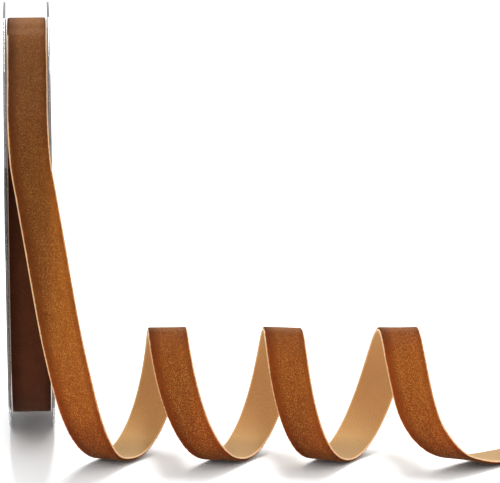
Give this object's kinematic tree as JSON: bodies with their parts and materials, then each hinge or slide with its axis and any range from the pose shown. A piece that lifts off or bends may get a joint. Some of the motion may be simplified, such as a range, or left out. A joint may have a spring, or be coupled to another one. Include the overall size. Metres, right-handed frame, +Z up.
{
  "type": "ribbon spool",
  "caption": "Narrow clear plastic ribbon spool, wound with velvet ribbon whose free end falls over the front and runs out to the side in standing loops.",
  "frame": {"origin": "on the floor under the middle of the spool, midway between its two rims", "axes": "+X along the spool's axis, towards the side that the free ribbon runs out to; -Y towards the side that the ribbon falls down; +Z up"},
  "size_m": [0.14, 0.1211, 0.112],
  "materials": {
    "clear_plastic": "clear moulded polystyrene, glossy, a little hazy",
    "velvet": "brown cut-pile velvet, tan woven back, pale selvedges",
    "tape_film": "clear adhesive tape"
  },
  "bodies": {
    "ribbon_end": {"free_ribbon": "velvet"},
    "spool": {"spool_half_left": "clear_plastic", "spool_half_right": "clear_plastic", "wound_ribbon": "velvet", "core_tape": "tape_film"}
  },
  "joints": [
    {"name": "spool_spin", "type": "hinge", "parent": "ribbon_end", "child": "spool", "pos_m": [0, 0, 0.056], "axis": [1, 0, 0], "continuous": true}
  ]
}
